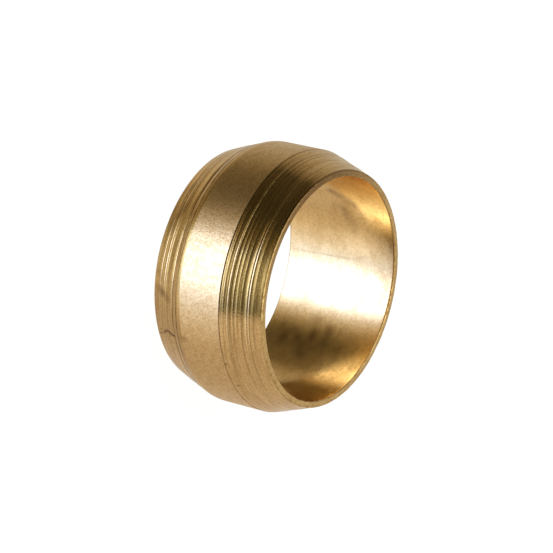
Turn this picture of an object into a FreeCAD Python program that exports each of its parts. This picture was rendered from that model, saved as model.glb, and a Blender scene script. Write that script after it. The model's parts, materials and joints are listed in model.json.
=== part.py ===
import FreeCAD, Part
import math
import os

# Compression olive for copper tube: one ring of brass, turned from bar and bored through.
# It stands on its back end face, with the bore's axis on Z and its front end face up.

# Driving dimensions, in millimetres
TUBE_DIAMETER = 15.0
BORE_CLEARANCE = 0.1
BAND_WALL = 1.35
BAND_WIDTH = 3.25
BACK_SHOULDER_ROUND = 1.5
FRONT_TAPER_LENGTH = 2.80
BACK_TAPER_LENGTH = 2.62
FRONT_LIP_WALL = 0.43
BACK_LIP_WALL = 0.41
EDGE_BREAK = 0.05

# A round-nosed tool cut each taper in a few uneven passes and left hollows with a sharp ridge between them.
# Each cut, from the band to the lip: the share of the turned length at which it ends, and its depth for each
# millimetre of its width.
FRONT_CUTS = (
    (0.10, 0.045),
    (0.17, 0.025),
    (0.25, 0.018),
    (0.33, 0.042),
    (0.42, 0.035),
    (0.52, 0.020),
    (0.65, 0.050),
    (0.80, 0.035),
    (1.00, 0.022),
)
BACK_CUTS = (
    (0.25, 0.045),
    (0.56, 0.015),
    (0.69, 0.030),
    (0.80, 0.035),
    (1.00, 0.015),
)

BORE_RADIUS = (TUBE_DIAMETER + BORE_CLEARANCE) / 2
BAND_RADIUS = BORE_RADIUS + BAND_WALL
BAND_BACK = BACK_TAPER_LENGTH
BAND_FRONT = BAND_BACK + BAND_WIDTH
WIDTH = BAND_FRONT + FRONT_TAPER_LENGTH


def point(radius, height):
    return FreeCAD.Vector(radius, 0, height)


def toward(start, end, distance):
    return start + (end - start).normalize() * distance


def line(start, end):
    return Part.LineSegment(start, end).toShape()


def rounded_corner(before, corner, after, radius):
    """The arc that rounds the corner between two lines, with the points where it starts and ends."""
    turn = (corner - before).getAngle(after - corner)
    reach = radius * math.tan(turn / 2)
    start = toward(corner, before, reach)
    end = toward(corner, after, reach)
    middle = toward(corner, (start + end) / 2, radius / math.cos(turn / 2) - radius)
    return Part.Arc(start, middle, end).toShape(), start, end


def turned_hollows(start, end, cuts):
    """Arcs side by side along the line from start to end, each dipping into the wall."""
    span = end - start
    square_to_span = span.cross(FreeCAD.Vector(0, 1, 0)).normalize()
    inward = square_to_span * -math.copysign(1, square_to_span.x)
    arcs = []
    near = start
    for share, depth in cuts:
        far = start + span * share
        dip = inward * (depth * (far - near).Length)
        arcs.append(Part.Arc(near, (near + far) / 2 + dip, far).toShape())
        near = far
    return arcs


def wall_section():
    """The closed outline of the wall on one side of the axis."""
    bore_back = point(BORE_RADIUS, EDGE_BREAK)
    bore_front = point(BORE_RADIUS, WIDTH - EDGE_BREAK)
    mouth_back = point(BORE_RADIUS + EDGE_BREAK, 0)
    mouth_front = point(BORE_RADIUS + EDGE_BREAK, WIDTH)
    lip_back = point(BORE_RADIUS + BACK_LIP_WALL, 0)
    lip_front = point(BORE_RADIUS + FRONT_LIP_WALL, WIDTH)
    band_back = point(BAND_RADIUS, BAND_BACK)
    band_front = point(BAND_RADIUS, BAND_FRONT)

    face_back = toward(lip_back, mouth_back, EDGE_BREAK)
    face_front = toward(lip_front, mouth_front, EDGE_BREAK)
    taper_end_back = toward(lip_back, band_back, EDGE_BREAK)
    taper_end_front = toward(lip_front, band_front, EDGE_BREAK)
    shoulder, band_end, taper_start = rounded_corner(band_front, band_back, lip_back, BACK_SHOULDER_ROUND)

    return Part.Wire([
        line(bore_back, bore_front),
        line(bore_front, mouth_front),
        line(mouth_front, face_front),
        line(face_front, taper_end_front),
        *reversed(turned_hollows(band_front, taper_end_front, FRONT_CUTS)),
        line(band_front, band_end),
        shoulder,
        *turned_hollows(taper_start, taper_end_back, BACK_CUTS),
        line(taper_end_back, face_back),
        line(face_back, mouth_back),
        line(mouth_back, bore_back),
    ])


def olive():
    axis_point = FreeCAD.Vector(0, 0, 0)
    axis = FreeCAD.Vector(0, 0, 1)
    return Part.Face(wall_section()).revolve(axis_point, axis, 360)


ring = olive()
os.makedirs("parts", exist_ok=True)
ring.exportStep("parts/olive.step")
box = ring.optimalBoundingBox()
print(f"olive: valid {ring.isValid()}, {len(ring.Faces)} faces, {ring.Volume:.1f} mm3")
print(f"box {box.XLength:.3f} x {box.YLength:.3f} x {box.ZLength:.3f} mm, from Z = {box.ZMin:.3f}")
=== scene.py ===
import json
import math

import bmesh
import bpy
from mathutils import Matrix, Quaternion, Vector, noise


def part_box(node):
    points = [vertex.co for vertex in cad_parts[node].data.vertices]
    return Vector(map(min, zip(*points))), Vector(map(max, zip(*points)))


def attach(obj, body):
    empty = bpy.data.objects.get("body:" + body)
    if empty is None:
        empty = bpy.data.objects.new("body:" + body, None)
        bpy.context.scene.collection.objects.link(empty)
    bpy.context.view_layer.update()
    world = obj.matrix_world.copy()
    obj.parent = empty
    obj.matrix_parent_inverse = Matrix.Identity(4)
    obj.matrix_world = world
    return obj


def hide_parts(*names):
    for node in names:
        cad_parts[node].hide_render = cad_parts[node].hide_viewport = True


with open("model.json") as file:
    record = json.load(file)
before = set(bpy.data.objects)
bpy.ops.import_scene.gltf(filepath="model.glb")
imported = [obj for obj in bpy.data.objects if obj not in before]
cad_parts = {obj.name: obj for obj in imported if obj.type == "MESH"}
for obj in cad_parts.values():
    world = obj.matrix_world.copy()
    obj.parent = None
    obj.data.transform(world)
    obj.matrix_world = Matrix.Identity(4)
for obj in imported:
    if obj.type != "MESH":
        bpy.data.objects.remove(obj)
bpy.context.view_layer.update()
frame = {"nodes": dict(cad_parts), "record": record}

scene = bpy.context.scene
scene.view_settings.view_transform = "Standard"

# main sizes, read from the solid that the ring stands for
mm = 0.001
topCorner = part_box("olive")[1]
bandRadius = topCorner.x
width = topCorner.z
middle = Vector((0, 0, width / 2))
tubeBore = next(m for m in frame["record"]["mounts"] if m["name"] == "tube_bore")
boreRadius = tubeBore["dims"]["r_mm"] * mm
outline = [(math.hypot(v.co.x, v.co.y), v.co.z) for v in frame["nodes"]["olive"].data.vertices]
nearly = 0.0005 * mm
bandFront = max(z for r, z in outline if r > bandRadius - nearly)
print(f"frame: band {bandRadius / mm:.3f}, bore {boreRadius / mm:.3f}, width {width / mm:.3f} mm")


def wayTo(azimuth, elevation):  # azimuth 0 is the camera's side, and 90 is +X
    a, e = math.radians(azimuth), math.radians(elevation)
    return Vector((math.sin(a) * math.cos(e), -math.cos(a) * math.cos(e), math.sin(e)))


def addObject(name, data):
    item = bpy.data.objects.new(name, data)
    scene.collection.objects.link(item)
    return item


def addMesh(name, bm):
    mesh = bpy.data.meshes.new(name)
    bm.to_mesh(mesh)
    bm.free()
    return addObject(name, mesh)


def addNode(tree, kind, inputs=None, **settings):
    node = tree.nodes.new(kind)
    for name, value in settings.items():
        setattr(node, name, value)
    for name, value in (inputs or {}).items():
        if isinstance(value, bpy.types.NodeSocket):
            tree.links.new(value, node.inputs[name])
        else:
            node.inputs[name].default_value = value
    return node


def addMath(tree, operation, *values):
    node = addNode(tree, "ShaderNodeMath", dict(enumerate(values)), operation=operation)
    return node.outputs["Value"]


def addVectorMath(tree, operation, *values):
    node = addNode(tree, "ShaderNodeVectorMath", dict(enumerate(values)), operation=operation)
    return node.outputs["Vector"]


def addRamp(tree, share, stops, interpolation="LINEAR"):  # stops from 0 to 1
    node = addNode(tree, "ShaderNodeValToRGB", {"Fac": share})
    node.color_ramp.interpolation = interpolation
    while len(node.color_ramp.elements) < len(stops):
        node.color_ramp.elements.new(0.5)
    for element, (position, colour) in zip(node.color_ramp.elements, stops):
        element.position = position
        element.color = (*colour, 1)
    return node.outputs["Color"]


def addScaledRamp(tree, value, stops, interpolation="LINEAR"):  # stops in the value's own units
    first, last = stops[0][0], stops[-1][0]
    share = addNode(tree, "ShaderNodeMapRange", {"Value": value, "From Min": first, "From Max": last})
    spread = [((at - first) / (last - first), colour) for at, colour in stops]
    return addRamp(tree, share.outputs["Result"], spread, interpolation)


# camera, at the photograph's angle
photoView = {
    "elevation": 32.9,
    "roll": 103.3,  # the ring's front end points right and a little down in the picture
    "distance": 193.1 * mm,
    "lens": 188.7,
    "sensor": 36,
    "nearest": 1 * mm,
    "besideCentre": 0.131 * mm,  # the ring's centre is right of the picture's
    "belowCentre": 0.013 * mm,
}


def makeCamera():
    data = bpy.data.cameras.new("photoCamera")
    data.lens = photoView["lens"]
    data.sensor_width = photoView["sensor"]
    data.clip_start = photoView["nearest"]
    camera = addObject("photoCamera", data)
    back = wayTo(0, photoView["elevation"])
    turn = (-back).to_track_quat("-Z", "Y") @ Quaternion((0, 0, 1), math.radians(photoView["roll"]))
    right, up = turn @ Vector((1, 0, 0)), turn @ Vector((0, 1, 0))
    aim = middle - right * photoView["besideCentre"] + up * photoView["belowCentre"]
    camera.location = aim + back * photoView["distance"]
    camera.rotation_mode = "QUATERNION"
    camera.rotation_quaternion = turn
    scene.camera = camera


makeCamera()
print("camera ready")

# studio: walls by azimuth, pale on one side and dark on the other, with a softbox and soft glows on top
studio = {
    "walls": (  # azimuth, colour
        (-180, (0.44, 0.385, 0.335)),
        (-140, (0.42, 0.38, 0.355)),
        (-122, (0.37, 0.32, 0.27)),
        (-110, (0.26, 0.21, 0.16)),
        (-98, (0.13, 0.10, 0.065)),
        (-94, (0.03, 0.022, 0.011)),
        (-60, (0.016, 0.0115, 0.0035)),
        (36, (0.10, 0.083, 0.051)),
        (42, (0.55, 0.46, 0.42)),
        (155, (0.55, 0.465, 0.42)),
        (180, (0.44, 0.385, 0.335)),
    ),
    # sine of the elevation, and how bright the walls are there
    "heights": ((-1.0, 0.74), (-0.55, 1.06), (0.0, 1.10), (0.4, 0.66), (1.0, 0.45)),
    "softbox": {  # a panel low in front; places on it are counted for each unit of distance
        "azimuth": 7,
        "elevation": -33,
        "leastDistance": 0.05,  # keeps the division off zero
        "upward": (  # height from its middle, colour
            (-1.4, (0.0, 0.0, 0.0)),
            (-1.1, (0.14, 0.125, 0.09)),
            (-0.75, (0.48, 0.46, 0.40)),
            (-0.42, (1.0, 1.05, 1.0)),
            (-0.32, (1.5, 1.7, 2.1)),
            (-0.15, (2.6, 3.1, 5.8)),
            (0.15, (2.6, 3.1, 5.8)),
            (0.32, (1.6, 1.8, 2.2)),
            (0.45, (1.05, 1.1, 1.05)),
            (0.75, (0.34, 0.325, 0.25)),
            (1.05, (0.12, 0.105, 0.075)),
            (1.4, (0.0, 0.0, 0.0)),
        ),
        "sideways": (  # place beside its middle, and what is left of that colour; crisp on the dark side
            (-1.4, (0.0, 0.0, 0.0)),
            (-1.0, (0.055, 0.037, 0.012)),
            (-0.83, (0.103, 0.068, 0.025)),
            (-0.70, (0.162, 0.11, 0.048)),
            (-0.59, (0.268, 0.212, 0.12)),
            (-0.48, (0.36, 0.32, 0.245)),
            (-0.40, (0.53, 0.52, 0.49)),
            (-0.29, (1.0, 1.0, 1.0)),
            (0.10, (1.0, 1.0, 1.0)),
            (0.22, (0.78, 0.79, 0.77)),
            (0.35, (0.475, 0.48, 0.48)),
            (0.45, (0.362, 0.36, 0.33)),
            (0.55, (0.222, 0.243, 0.234)),
            (0.79, (0.17, 0.164, 0.136)),
            (1.09, (0.104, 0.093, 0.07)),
            (1.55, (0.031, 0.022, 0.008)),
            (1.9, (0.0, 0.0, 0.0)),
        ),
    },
    "glows": (  # azimuth, elevation, colour, tightness
        (180, -33, (0.17, 0.175, 0.155), 6),  # white screen behind
        (180, 35, (0.20, 0.17, 0.15), 8),  # its upper part
        (-110, -75, (0.31, 0.25, 0.16), 8),  # light off the table
        (-85, -45, (0.075, 0.054, 0.03), 5),  # and off the table's edge
        (0, 90, (0.45, 0.44, 0.31), 3.6),  # ceiling
        (0, 76, (0.7, 0.67, 0.46), 14),  # and the lamp under it
    ),
}


def addDot(tree, way, direction):
    inputs = {0: way, 1: direction}
    return addNode(tree, "ShaderNodeVectorMath", inputs, operation="DOT_PRODUCT").outputs["Value"]


def addSoftbox(tree, way):
    softbox = studio["softbox"]
    forward = wayTo(softbox["azimuth"], softbox["elevation"])
    beside = Vector((0, 0, 1)).cross(forward).normalized()
    distance = addMath(tree, "MAXIMUM", addDot(tree, way, forward), softbox["leastDistance"])
    ramps = []
    for axis, stops in ((forward.cross(beside), softbox["upward"]), (beside, softbox["sideways"])):
        place = addMath(tree, "DIVIDE", addDot(tree, way, axis), distance)
        ramps.append(addScaledRamp(tree, place, stops))
    return addVectorMath(tree, "MULTIPLY", *ramps)


def makeStudio():
    world = bpy.data.worlds.new("studio")
    scene.world = world
    world.use_nodes = True
    world.cycles.sampling_method = "NONE"
    tree = world.node_tree
    tree.nodes.clear()
    way = addNode(tree, "ShaderNodeTexCoord").outputs["Generated"]  # in a world, where the ray goes
    along = addNode(tree, "ShaderNodeSeparateXYZ", {"Vector": way}).outputs
    toCamera = addMath(tree, "MULTIPLY", along["Y"], -1.0)
    turn = addMath(tree, "DEGREES", addMath(tree, "ARCTAN2", along["X"], toCamera))
    walls = addScaledRamp(tree, turn, studio["walls"], "EASE")
    greys = [(height, (level, level, level)) for height, level in studio["heights"]]
    light = addVectorMath(tree, "MULTIPLY", walls, addScaledRamp(tree, along["Z"], greys))
    light = addVectorMath(tree, "ADD", addSoftbox(tree, way), light)
    for azimuth, elevation, colour, tight in studio["glows"]:
        facing = addDot(tree, way, wayTo(azimuth, elevation))
        glow = addMath(tree, "EXPONENT", addMath(tree, "MULTIPLY_ADD", facing, tight, -tight))
        light = addVectorMath(tree, "MULTIPLY_ADD", glow, colour, light)
    background = addNode(tree, "ShaderNodeBackground", {"Color": light, "Strength": 1.0})
    addNode(tree, "ShaderNodeOutputWorld", {"Surface": background.outputs["Background"]})


makeStudio()

# pale floor with a wall round it, lit from below like a light table; it keeps a faint shadow
sweep = {
    "radius": 1.5,
    "roundSteps": 96,
    "wallHeight": 1.5,
    "corner": 0.4,
    "cornerSteps": 12,
    "paint": 0.16,
    "glow": 0.92,
}


def makePaleTable():
    material = bpy.data.materials.new("paleTable")
    material.use_nodes = True
    material.cycles.emission_sampling = "NONE"
    paint = sweep["paint"]
    shader = material.node_tree.nodes["Principled BSDF"]
    shader.inputs["Base Color"].default_value = (paint, paint, paint, 1)
    shader.inputs["Roughness"].default_value = 1.0
    shader.inputs["Specular IOR Level"].default_value = 0.0
    shader.inputs["Emission Color"].default_value = (1, 1, 1, 1)
    shader.inputs["Emission Strength"].default_value = sweep["glow"]
    return material


def makeSweep():
    bm = bmesh.new()
    bmesh.ops.create_circle(bm, cap_ends=True, radius=sweep["radius"], segments=sweep["roundSteps"])
    rim = [e for e in bm.edges if e.is_boundary]
    raised = bmesh.ops.extrude_edge_only(bm, edges=rim)["geom"]
    wallTop = [g for g in raised if isinstance(g, bmesh.types.BMVert)]
    bmesh.ops.translate(bm, verts=wallTop, vec=(0, 0, sweep["wallHeight"]))
    bmesh.ops.bevel(bm, geom=rim, offset=sweep["corner"], segments=sweep["cornerSteps"], profile=0.5,
                    affect="EDGES", material=-1)
    bmesh.ops.recalc_face_normals(bm, faces=bm.faces)
    floor = addMesh("sweep", bm)
    floor.data.shade_smooth()
    floor.data.materials.append(makePaleTable())
    floor.visible_glossy = False  # the ring mirrors the studio and not the table under it
    floor.visible_diffuse = False


makeSweep()

keyLamp = {"azimuth": -60, "elevation": 70, "distance": 0.4, "size": 0.5, "power": 0.7}


def makeKeyLamp():
    data = bpy.data.lights.new("keyLamp", "AREA")
    data.size = keyLamp["size"]
    data.energy = keyLamp["power"]
    lamp = addObject("keyLamp", data)
    way = wayTo(keyLamp["azimuth"], keyLamp["elevation"])
    lamp.location = middle + way * keyLamp["distance"]
    lamp.rotation_euler = (-way).to_track_quat("-Z", "Y").to_euler()


makeKeyLamp()
print("studio ready")

# the ring, spun from its own section
ring = {
    # cuts, from the band to the lip: the share of the taper at which each ends, and its depth by its width
    "frontCuts": ((0.10, 0.045), (0.17, 0.025), (0.25, 0.018), (0.33, 0.042), (0.42, 0.035),
                  (0.52, 0.020), (0.65, 0.050), (0.80, 0.035), (1.00, 0.022)),
    "backCuts": ((0.25, 0.045), (0.56, 0.015), (0.69, 0.030), (0.80, 0.035), (1.00, 0.015)),
    "shoulderHeight": 2.62 * mm,  # where the back taper would meet the band
    "shoulderRound": 1.5 * mm,
    "edgeReach": 0.2 * mm,  # the broken edges of an end lie within this
    "lipDepth": 0.048 * mm,  # the lip's finish goes this far in from an end
    "bandMargin": 0.003 * mm,
    "boreMargin": 0.2 * mm,
    "spinSteps": 560,
    "cutSteps": 5,
    "bandLoops": 6,
    "lipLoops": 4,
    "boreLoops": 16,
    "boreSupport": 0.15 * mm,  # from an end to the first loop in the bore
    "sharpAngle": 8,  # edges past this are shaded sharp
    "cornerAngle": 35,  # and past this rounded off
    "edgeSoftness": 0.02 * mm,
    "edgeSteps": 2,
}
# what differs round the ring, wear and painted shade; patterns are counted per millimetre
wearAndShade = {
    "rootReach": 0.045 * mm,  # dirt and painted shade lie this far past the ridge at which a cut starts
    "rootDirtAndShade": 6,  # times the cut's depth
    "rootBlotches": 0.7,
    "wobbles": (0.4, 0.4, 4),
    "wobbleDepth": 0.003 * mm,
    "lines": (  # round the ring: height, depth (a burr's is below 0), dirt
        (0.62 * mm, -0.012 * mm, 0.0),
        (1.05 * mm, -0.012 * mm, 0.0),
        (1.22 * mm, -0.010 * mm, 0.0),
        (2.00 * mm, 0.012 * mm, 0.8),
        (2.41 * mm, 0.012 * mm, 0.8),
        (5.93 * mm, 0.008 * mm, 0.3),
        (6.47 * mm, -0.019 * mm, 0.0),
        (7.80 * mm, -0.022 * mm, 0.0),
    ),
    "lineWidth": 0.055 * mm,
    "lineLoops": (-1, -0.5, 0.5, 1),  # across a line, in line widths
    "nickReach": 0.13 * mm,
    "nickDepth": {1: 0.03 * mm, -1: 0.012 * mm},  # at the front end and at the back
    "nickLean": 0.5,
    "bites": ((3.3, 1.0), (7.1, 0.8)),  # how many, how strong
    "biteDirt": 0.8,
    # the ends darker along their outer edges
    "edgeDarkening": 0.6,
    # painted shade: the front lip's face darker towards one side about the axis
    "paintedLipShade": (-144, 74, 0.85),  # angle about the axis, how far it goes each way, how strong
    "lipShadeReach": 0.1 * mm,
    "mouthReach": 0.06 * mm,  # dirt on the bore's own edges
    "mouthDirt": 0.3,
    "blotches": 1.5,
    "blotchDepth": 0.8,
    "grains": 4,
    # strokes: angle and height of both ends, reach to each side, how strong
    "gouges": (
        (-48.2, 0.15 * mm, -50.2, 0.85 * mm, 0.09 * mm, 0.7),
        (-51.2, 0.85 * mm, -52.4, 1.25 * mm, 0.14 * mm, 0.9),
        (-52.4, 1.25 * mm, -51.8, 1.90 * mm, 0.15 * mm, 1.0),
        (-51.4, 0.46 * mm, -51.5, 0.58 * mm, 0.10 * mm, 0.5),
        (-53.4, 1.10 * mm, -53.2, 1.30 * mm, 0.09 * mm, 0.5),
        (-44.8, 5.98 * mm, -44.6, 6.02 * mm, 0.12 * mm, 0.7),  # pits beside the band
        (-31.6, 6.14 * mm, -31.4, 6.20 * mm, 0.12 * mm, 0.7),
    ),
    "gougeDepth": 0.06 * mm,
    "gougeEven": 0.8,
    "gougeRagged": 0.6,
    "gougeDirt": 1.6,
    "gougeMargin": 0.4 * mm,  # finer faces go this far round them
    "gougeSplits": 3,
    "smudges": (
        (-53.8, 2.80 * mm, -51.5, 3.05 * mm, 0.35 * mm, 0.35),
        (-108, 2.2 * mm, -140, 2.2 * mm, 0.35 * mm, 0.5),
        (-72, 0.5 * mm, -69, 1.5 * mm, 0.45 * mm, 0.6),
        (-80, 0.4 * mm, -77, 0.7 * mm, 0.35 * mm, 0.35),
        (-100, 0.6 * mm, -112, 1.1 * mm, 0.5 * mm, 0.5),
        (-121, 0.6 * mm, -124, 0.8 * mm, 0.4 * mm, 0.35),
        (-97, 1.5 * mm, -78, 1.5 * mm, 0.35 * mm, 0.30),
    ),
    "stainsAndShade": (  # in the bore: stains, and painted shade along dark streaks of its reflection
        (149, 4.3 * mm, 141, 6.0 * mm, 0.45 * mm, 0.55),
        (138, 4.8 * mm, 126, 5.3 * mm, 0.7 * mm, 0.28),
        (127, 8.4 * mm, 121, 7.1 * mm, 0.45 * mm, 0.15),
        (106.5, 0.4 * mm, 108, 5.4 * mm, 0.09 * mm, 0.30),
        (73, 3.5 * mm, 56, 4.1 * mm, 0.5 * mm, 0.55),
        (69, 4.9 * mm, 60, 4.7 * mm, 0.5 * mm, 0.55),
        (64, 2.3 * mm, 50, 3.8 * mm, 0.6 * mm, 0.50),
        (66, 1.2 * mm, 56, 1.9 * mm, 0.7 * mm, 0.45),
        (64, 0.6 * mm, 62, 5.0 * mm, 1.3 * mm, 0.12),
    ),
}


def lipPoints(height, inward):  # over one end, from its outer edge across the flat face to the bore
    onFace = [r for r, z in outline if abs(z - height) < nearly]
    beside = [(r, z) for r, z in outline if nearly < (z - height) * inward < ring["edgeReach"]]
    outer, inner = max(onFace), min(onFace)
    outerEdge = min((abs(z - height), r, z) for r, z in beside if r > outer)
    loops = ring["lipLoops"]
    across = [(outer - (outer - inner) * n / loops, height) for n in range(loops + 1)]
    return [outerEdge[1:], *across, min(beside)]


def lineTo(bm, tip, point):
    corner = bm.verts.new((point[0], 0, point[1]))
    bm.edges.new((tip, corner))
    return corner


def arcTo(bm, tip, point, bulge, steps):  # bulge is how far the arc stands out of its chord, off the axis
    start, end = tip.co.copy(), Vector((point[0], 0, point[1]))
    half = (end - start).length / 2
    radius = (half ** 2 + bulge ** 2) / (2 * abs(bulge))
    square = (end - start).cross(Vector((0, 1, 0))).normalized()
    outward = square * math.copysign(1, square.x)
    centre = (start + end) / 2 - outward * math.copysign(radius - abs(bulge), bulge)
    angle = math.copysign(2 * math.asin(half / radius), (start - centre).cross(end - centre).y)
    made = bmesh.ops.spin(bm, geom=[tip], cent=centre, axis=(0, 1, 0), angle=angle, steps=steps)
    return made["geom_last"][0]


def turnedTaper(bm, tip, end, cuts):  # one round-nosed cut after the other, from the band to the lip
    first, near, roots = (tip.co.x, tip.co.z), 0, []
    way = math.copysign(1, end[1] - first[1])
    for far, depth in cuts:
        roots.append((tip.co.z, way, depth))
        bulge = -depth * (far - near) * math.dist(first, end)
        tip = arcTo(bm, tip, [a + (b - a) * far for a, b in zip(first, end)], bulge, ring["cutSteps"])
        near = far
    return tip, roots


def drawSection(bm):  # two chains that start at the band's front edge and meet in the bore
    front, back = lipPoints(width, -1), lipPoints(0, 1)
    tip = bm.verts.new((bandRadius, 0, bandFront))
    tip, frontRoots = turnedTaper(bm, tip, front[0], ring["frontCuts"])
    for point in front[1:]:
        tip = lineTo(bm, tip, point)
    tip = lineTo(bm, tip, (boreRadius, width - ring["boreSupport"]))
    boreStep = (width - 2 * ring["boreSupport"]) / ring["boreLoops"]
    for n in reversed(range(ring["boreLoops"])):
        tip = lineTo(bm, tip, (boreRadius, ring["boreSupport"] + boreStep * n))
    tip = lineTo(bm, tip, back[-1])

    slope = math.atan2(bandRadius - back[0][0], ring["shoulderHeight"] - back[0][1])
    reach = ring["shoulderRound"] * math.tan(slope / 2)
    taperStart = (bandRadius - reach * math.sin(slope), ring["shoulderHeight"] - reach * math.cos(slope))
    tip = bm.verts.new((bandRadius, 0, bandFront))
    bandBack = ring["shoulderHeight"] + reach
    for n in range(ring["bandLoops"]):
        height = bandFront + (bandBack - bandFront) * (n + 1) / ring["bandLoops"]
        tip = lineTo(bm, tip, (bandRadius, height))
    tip = arcTo(bm, tip, taperStart, ring["shoulderRound"] * (1 - math.cos(slope / 2)), ring["cutSteps"])
    tip, backRoots = turnedTaper(bm, tip, back[0], ring["backCuts"])
    for point in back[1:]:
        tip = lineTo(bm, tip, point)
    return frontRoots + backRoots


def inBore(part):  # a vertex or an edge of the bore or its mouth
    verts = part.verts if isinstance(part, bmesh.types.BMEdge) else [part]
    return any(v.co.xy.length < boreRadius + ring["boreMargin"] for v in verts)


def addLineLoops(bm):  # close loops in the section where the lines are
    for line in wearAndShade["lines"]:
        for share in wearAndShade["lineLoops"]:
            outside = [g for g in bm.verts[:] + bm.edges[:] if not inBore(g)]
            bmesh.ops.bisect_plane(bm, geom=outside, dist=nearly, plane_no=(0, 0, 1),
                                   plane_co=(0, 0, line[0] + share * wearAndShade["lineWidth"]))


def zoneOf(face):
    at = face.calc_center_median()
    radius = math.hypot(at.x, at.y)
    if min(at.z, width - at.z) < ring["lipDepth"]:
        return "nickedLip"
    if radius < boreRadius + nearly:
        return "smoothBore"
    if radius > bandRadius - ring["bandMargin"]:
        return "satinBand"
    return "turnedTaper"


def mottle(at, perMm):  # about -1 to 1
    return noise.noise(at * (perMm / mm))


def blotchy(at, perMm):
    return 1 + wearAndShade["blotchDepth"] * mottle(at, perMm)


def strokeShare(at, strokes):  # how strong the strokes are here, on the surface rolled out flat
    radius = at.xy.length
    here = Vector((math.atan2(at.y, at.x) * radius, at.z))
    most = 0
    for angle, height, endAngle, endHeight, reach, strength in strokes:
        start = Vector((math.radians(angle) * radius, height))
        way = Vector((math.radians(endAngle) * radius, endHeight)) - start
        along = min(1, max(0, (here - start).dot(way) / way.length_squared))
        most = max(most, strength * (1 - (here - start - way * along).length / reach))
    return most


def lineMarks(at):  # depth and dirt of the lines here
    depth = dirtAndShade = 0
    for height, lineDepth, lineDirt in wearAndShade["lines"]:
        share = min(1, max(0, 2 - 2 * abs(at.z - height) / wearAndShade["lineWidth"]))
        depth += share * lineDepth
        dirtAndShade += share * lineDirt
    return depth, dirtAndShade


# dirt and painted shade in the crease where each cut starts, darker for deeper cuts
def rootDirtAndShade(at, roots):
    most = 0
    for root, way, depth in roots:
        past = (at.z - root) * way / wearAndShade["rootReach"]
        most = max(most, (1 - abs(past - 1)) * depth * wearAndShade["rootDirtAndShade"])
    return most * blotchy(at, wearAndShade["rootBlotches"])


# painted shade on the front lip's face, darker towards one side
def paintedLipShade(at):
    angle, reach, strength = wearAndShade["paintedLipShade"]
    edge = math.cos(math.radians(reach))
    here = math.cos(math.atan2(at.y, at.x) - math.radians(angle))
    return strength * max(0, (here - edge) / (1 - edge))


# stains and painted shade in the bore, and dirt on its mouth
def boreDirtAndShade(at, fromEnd):
    stainAndShade = strokeShare(at, wearAndShade["stainsAndShade"]) * blotchy(at, wearAndShade["blotches"])
    edge = max(0, 1 - fromEnd / wearAndShade["mouthReach"])
    return max(stainAndShade, edge * (wearAndShade["mouthDirt"] + mottle(at, wearAndShade["grains"])))


def refineGouge(bm):  # finer faces where the gouges are
    wide = [(*stroke[:4], wearAndShade["gougeMargin"], 1) for stroke in wearAndShade["gouges"]]
    around = []
    for edge in bm.edges:
        a, b = (vert.co for vert in edge.verts)
        level = abs(a.z - b.z) < nearly
        if level and not inBore(edge) and strokeShare((a + b) / 2, wide) > 0:
            around.append(edge)
    bmesh.ops.subdivide_edges(bm, edges=around, cuts=wearAndShade["gougeSplits"], use_grid_fill=True)


def wearAndShadeRing(bm, roots):
    dirtAndShade = bm.verts.layers.float.new("dirtAndShade")
    lipRadius = {1: lipPoints(width, -1)[1][0], -1: lipPoints(0, 1)[1][0]}
    for vert in bm.verts:
        at = vert.co.copy()
        radius = at.xy.length
        end = 1 if at.z > width / 2 else -1
        fromEnd = width - at.z if end > 0 else at.z
        if radius < boreRadius + wearAndShade["mouthReach"]:
            vert[dirtAndShade] = boreDirtAndShade(at, fromEnd)
            continue
        blotch = blotchy(at, wearAndShade["blotches"])
        smudge = strokeShare(at, wearAndShade["smudges"]) * blotch
        if radius > bandRadius - ring["bandMargin"]:
            vert[dirtAndShade] = smudge
            continue
        outward = Vector((at.x, at.y, 0)).normalized()
        ragged = wearAndShade["gougeEven"] + wearAndShade["gougeRagged"] * mottle(at, wearAndShade["grains"])
        gouge = strokeShare(at, wearAndShade["gouges"]) * ragged
        lineDepth, lineDirt = lineMarks(at)
        if fromEnd > wearAndShade["nickReach"]:
            wobble = noise.noise(Vector([a * n for a, n in zip(at, wearAndShade["wobbles"])]) / mm)
            vert.co += outward * (wobble * wearAndShade["wobbleDepth"] - gouge * wearAndShade["gougeDepth"] - lineDepth)
        nearEdge = max(0, 1 - math.hypot(radius - lipRadius[end], fromEnd) / wearAndShade["nickReach"])
        bite = max(0, sum(strength * mottle(at, perMm) for perMm, strength in wearAndShade["bites"])) * nearEdge
        vert.co -= (Vector((0, 0, end)) + wearAndShade["nickLean"] * outward) * bite * wearAndShade["nickDepth"][end]
        # painted shade on one side of the front lip; elsewhere the ends darker along their outer edges
        onFrontLip = end > 0 and fromEnd < wearAndShade["lipShadeReach"]
        lipShadeAndDarkEdge = paintedLipShade(at) if onFrontLip else wearAndShade["edgeDarkening"] * nearEdge
        spots = max(wearAndShade["biteDirt"] * bite, wearAndShade["gougeDirt"] * gouge, rootDirtAndShade(at, roots), lipShadeAndDarkEdge)
        vert[dirtAndShade] = min(1, spots + smudge + lineDirt * blotch)


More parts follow.
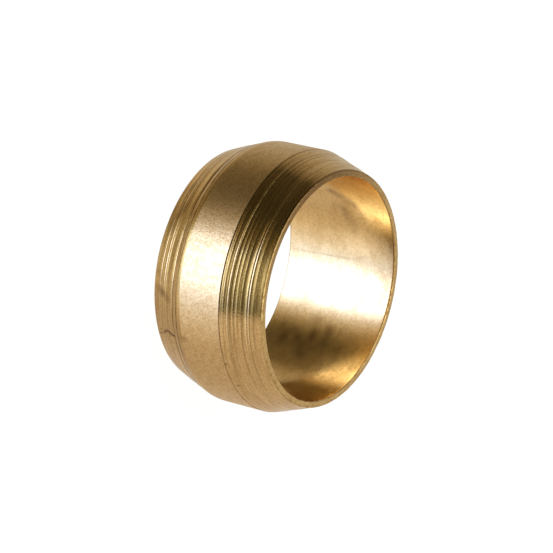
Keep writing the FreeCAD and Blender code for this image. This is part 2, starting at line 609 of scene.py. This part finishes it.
def makeRing():
    bm = bmesh.new()
    roots = drawSection(bm)
    bmesh.ops.remove_doubles(bm, verts=bm.verts, dist=nearly)
    addLineLoops(bm)
    print("section points", len(bm.verts))
    bmesh.ops.spin(bm, geom=bm.verts[:] + bm.edges[:], cent=(0, 0, 0), axis=(0, 0, 1), angle=math.tau,
                   steps=ring["spinSteps"], use_merge=True)
    bmesh.ops.remove_doubles(bm, verts=bm.verts, dist=nearly)
    bmesh.ops.recalc_face_normals(bm, faces=bm.faces)
    for edge in bm.edges:
        edge.smooth = edge.calc_face_angle(0) < math.radians(ring["sharpAngle"])
    corners = [e for e in bm.edges if e.calc_face_angle(0) > math.radians(ring["cornerAngle"])]
    rounded = bmesh.ops.bevel(bm, geom=corners, offset=ring["edgeSoftness"], segments=ring["edgeSteps"],
                              profile=0.5, affect="EDGES", material=-1)
    for edge in rounded["edges"]:
        edge.smooth = True
    zones = list(finishes)
    for face in bm.faces:
        face.smooth = True
        face.material_index = zones.index(zoneOf(face))
    refineGouge(bm)
    wearAndShadeRing(bm, roots)
    piece = addMesh("oliveRing", bm)
    piece.visible_diffuse = False  # the table takes its shadow and not its colour
    return piece


# brass, one finish for each zone of the ring; streaks, speckle and patches are counted per millimetre
brass = {
    "turned": ((0.75, 0.52, 0.215), (0.86, 0.62, 0.28)),  # dull and clean
    # painted light: a lighter copy of the turned brass, so that the bore's inner reflections come out
    # brighter
    "brightenedBore": ((0.82, 0.575, 0.235), (0.92, 0.675, 0.295)),
    "patchRange": (0.34, 0.56),  # where the patches go from dull to clean
    "glossRange": (0.3, 0.7),  # and from rough to smooth
    "shadeRange": (0.36, 0.56),  # where the streaks and the speckle go from shaded to bare
    "shadeTint": (1.0, 0.98, 0.94),
    # the colour of dirt, and of the painted shade
    "dirtAndShade": (0.22, 0.12, 0.045),
    "edge": (1.0, 0.98, 0.94),  # at a glancing angle
}
finishes = {
    "satinBand": {"metal": "turned", "patches": (2.5, 2.5, 2.5), "roughness": (0.27, 0.35),
                  "streaks": (2, 2, 5), "streakDepth": 0.004, "streakShade": 0.95,
                  "speckle": 9, "speckleDepth": 0.011, "speckleShade": 0.74},
    "turnedTaper": {"metal": "turned", "patches": (0.6, 0.6, 5), "roughness": (0.09, 0.17),
                    "streaks": (0.35, 0.35, 7), "streakDepth": 0.010, "streakShade": 0.84,
                    "speckle": 8, "speckleDepth": 0.007, "speckleShade": 0.80},
    "smoothBore": {"metal": "brightenedBore", "patches": (0.7, 0.7, 0.9), "roughness": (0.15, 0.26),
                   "streaks": (0.5, 0.5, 1.6), "streakDepth": 0.0008, "streakShade": 0.93,
                   "speckle": 5, "speckleDepth": 0.002, "speckleShade": 0.88},
    "nickedLip": {"metal": "turned", "patches": (2.5, 2.5, 2.5), "roughness": (0.20, 0.40),
                  "streaks": (1, 1, 6), "streakDepth": 0.004, "streakShade": 0.9,
                  "speckle": 6, "speckleDepth": 0.012, "speckleShade": 0.84},
}


def addNoise(tree, place, perMm, detail):
    scaled = addNode(tree, "ShaderNodeMapping", {"Vector": place, "Scale": [n / mm for n in perMm]})
    inputs = {"Vector": scaled.outputs["Vector"], "Scale": 1.0, "Detail": detail, "Roughness": 0.6}
    return addNode(tree, "ShaderNodeTexNoise", inputs).outputs["Fac"]


def addBump(tree, height, depth, **under):
    inputs = {"Height": height, "Distance": depth * mm, **under}
    return addNode(tree, "ShaderNodeBump", inputs).outputs["Normal"]


def makeBrass(name, finish):
    material = bpy.data.materials.new(name)
    material.use_nodes = True
    tree = material.node_tree
    place = addNode(tree, "ShaderNodeTexCoord").outputs["Object"]
    dirtAndShade = addNode(tree, "ShaderNodeAttribute", attribute_name="dirtAndShade").outputs["Fac"]
    streaks = addNoise(tree, place, finish["streaks"], 3.0)
    speckle = addNoise(tree, place, [finish["speckle"]] * 3, 2.0)
    patches = addNoise(tree, place, finish["patches"], 4.0)

    metal = addRamp(tree, patches, list(zip(brass["patchRange"], brass[finish["metal"]])))
    for texture, shade in ((streaks, finish["streakShade"]), (speckle, finish["speckleShade"])):
        shaded = [shade * part for part in brass["shadeTint"]]
        shades = addRamp(tree, texture, list(zip(brass["shadeRange"], (shaded, (1, 1, 1)))))
        metal = addVectorMath(tree, "MULTIPLY", metal, shades)
    # dirt and painted shade darken the brass towards that colour
    mixed = {"Fac": dirtAndShade, "Color1": metal, "Color2": (*brass["dirtAndShade"], 1)}
    colour = addNode(tree, "ShaderNodeMixRGB", mixed).outputs["Color"]

    dull, clean = brass["glossRange"]
    smooth, rough = finish["roughness"]
    gloss = {"Value": patches, "From Min": dull, "From Max": clean, "To Min": rough, "To Max": smooth}
    roughness = addNode(tree, "ShaderNodeMapRange", gloss).outputs["Result"]
    lines = addBump(tree, streaks, finish["streakDepth"])
    grain = addBump(tree, speckle, finish["speckleDepth"], Normal=lines)

    shader = tree.nodes["Principled BSDF"]
    shader.inputs["Metallic"].default_value = 1.0
    shader.inputs["Specular Tint"].default_value = (*brass["edge"], 1)
    tree.links.new(colour, shader.inputs["Base Color"])
    tree.links.new(roughness, shader.inputs["Roughness"])
    tree.links.new(grain, shader.inputs["Normal"])
    return material


olive = makeRing()
for name, finish in finishes.items():
    olive.data.materials.append(makeBrass(name, finish))
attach(olive, "root")
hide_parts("olive")
print("ring ready:", sum(len(p.vertices) - 2 for p in olive.data.polygons), "triangles")
